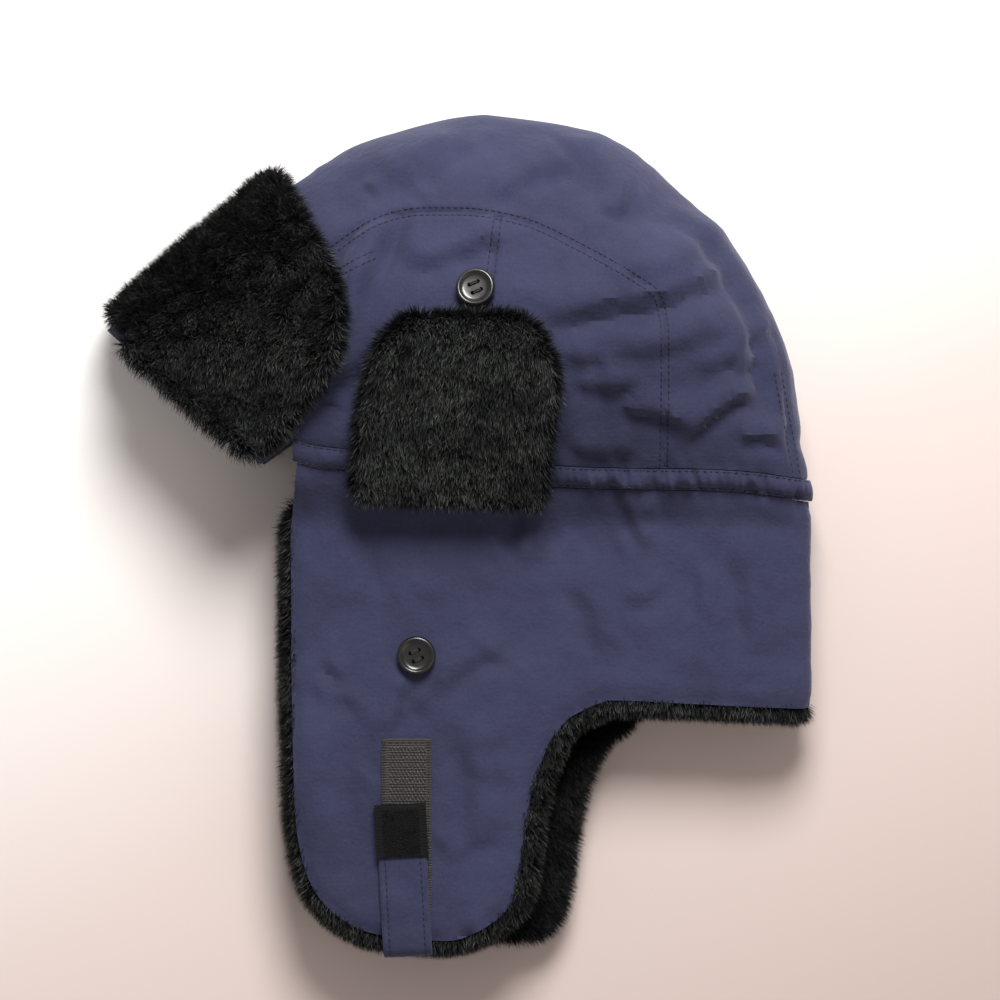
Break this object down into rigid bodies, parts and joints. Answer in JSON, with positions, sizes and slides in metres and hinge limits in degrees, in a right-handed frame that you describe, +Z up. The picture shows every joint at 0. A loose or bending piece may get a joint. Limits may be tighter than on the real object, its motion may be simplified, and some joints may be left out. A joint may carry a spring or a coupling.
{
  "type": "trapper hat",
  "caption": "Padded cloth trapper hat with fur-lined ear flaps, neck guard, fold-up fur visor, buttoned ear hatches and a chin strap, lying on its side.",
  "frame": {"origin": "on the table under the centre of the hat's bounding box, the hat lying on its right side", "axes": "+X towards the back of the head, +Y towards the top of the crown, +Z up from the table, out of the wearer's left side"},
  "size_m": [0.2782, 0.3272, 0.0911],
  "materials": {
    "navy_cloth": "matt brushed microfibre, fine plain weave",
    "pile_fur": "dense synthetic fur, near black with dark green-grey tips",
    "button": "polished resin with a raised rim",
    "thread": "black sewing thread",
    "hook_tape": "woven tape with a field of stiff hooks",
    "loop_patch": "fuzzy loop tape with ribbed edges",
    "elastic": "covered elastic",
    "wadding": "bonded polyester wadding",
    "lining": "smooth quilted lining"
  },
  "bodies": {
    "crown": {"crown_centre_panel": "navy_cloth", "crown_side_front_left": "navy_cloth", "crown_side_rear_left": "navy_cloth", "crown_side_front_right": "navy_cloth", "crown_side_rear_right": "navy_cloth", "crown_wadding": "wadding", "crown_lining": "lining", "band_casing": "navy_cloth", "band_elastic": "elastic", "neck_guard_shell": "navy_cloth", "neck_guard_fur": "pile_fur", "crown_button_left": "button", "crown_button_thread_left": "thread", "crown_button_right": "button", "crown_button_thread_right": "thread"},
    "left_flap": {"left_flap_shell": "navy_cloth", "left_flap_fur": "pile_fur", "flap_button_left": "button", "flap_button_thread_left": "thread", "hook_tape_left": "hook_tape", "chin_strap_root": "navy_cloth"},
    "right_flap": {"right_flap_shell": "navy_cloth", "right_flap_fur": "pile_fur", "flap_button_right": "button", "flap_button_thread_right": "thread", "hook_tape_right": "hook_tape"},
    "left_hatch": {"left_hatch_fur": "pile_fur", "left_hatch_cloth": "navy_cloth", "left_hatch_loop": "elastic"},
    "right_hatch": {"right_hatch_fur": "pile_fur", "right_hatch_cloth": "navy_cloth", "right_hatch_loop": "elastic"},
    "visor_left": {"visor_left_fur": "pile_fur", "visor_left_cloth": "navy_cloth"},
    "visor_right": {"visor_right_fur": "pile_fur", "visor_right_cloth": "navy_cloth"},
    "chin_strap": {"chin_strap": "navy_cloth", "strap_loop_patch": "loop_patch"}
  },
  "joints": [
    {"name": "left_flap_fold", "type": "hinge", "parent": "crown", "child": "left_flap", "pos_m": [-0.00487, -0.0327, 0.0419], "axis": [-0.8728, 0.4882, 0], "range_deg": [0, 90]},
    {"name": "right_flap_fold", "type": "hinge", "parent": "crown", "child": "right_flap", "pos_m": [-0.00487, -0.0327, 0], "axis": [0.8728, -0.4882, 0], "range_deg": [0, 90]},
    {"name": "left_hatch_fold", "type": "hinge", "parent": "crown", "child": "left_hatch", "pos_m": [-0.00302, 0.0154, 0.05432], "axis": [0.9988, -0.0405, -0.0261], "range_deg": [0, 95]},
    {"name": "right_hatch_fold", "type": "hinge", "parent": "crown", "child": "right_hatch", "pos_m": [-0.00302, 0.0154, 0.0054], "axis": [-0.9992, 0.0405, 0], "range_deg": [0, 95]},
    {"name": "visor_left_fold", "type": "hinge", "parent": "crown", "child": "visor_left", "pos_m": [-0.10452, 0.0525, 0.05469], "axis": [0.7442, -0.6411, 0.1876], "range_deg": [0, 150]},
    {"name": "visor_right_fold", "type": "hinge", "parent": "crown", "child": "visor_right", "pos_m": [-0.10452, 0.0525, 0.0054], "axis": [-0.7576, 0.6527, 0], "range_deg": [0, 150]},
    {"name": "chin_strap_fold", "type": "hinge", "parent": "left_flap", "child": "chin_strap", "pos_m": [-0.01951, -0.16122, 0.0447], "axis": [0.9985, 0.055, 0], "range_deg": [0, 175]}
  ],
  "couplings": [
    {"joint": "visor_right_fold", "follows": "visor_left_fold", "ratio": 1}
  ]
}
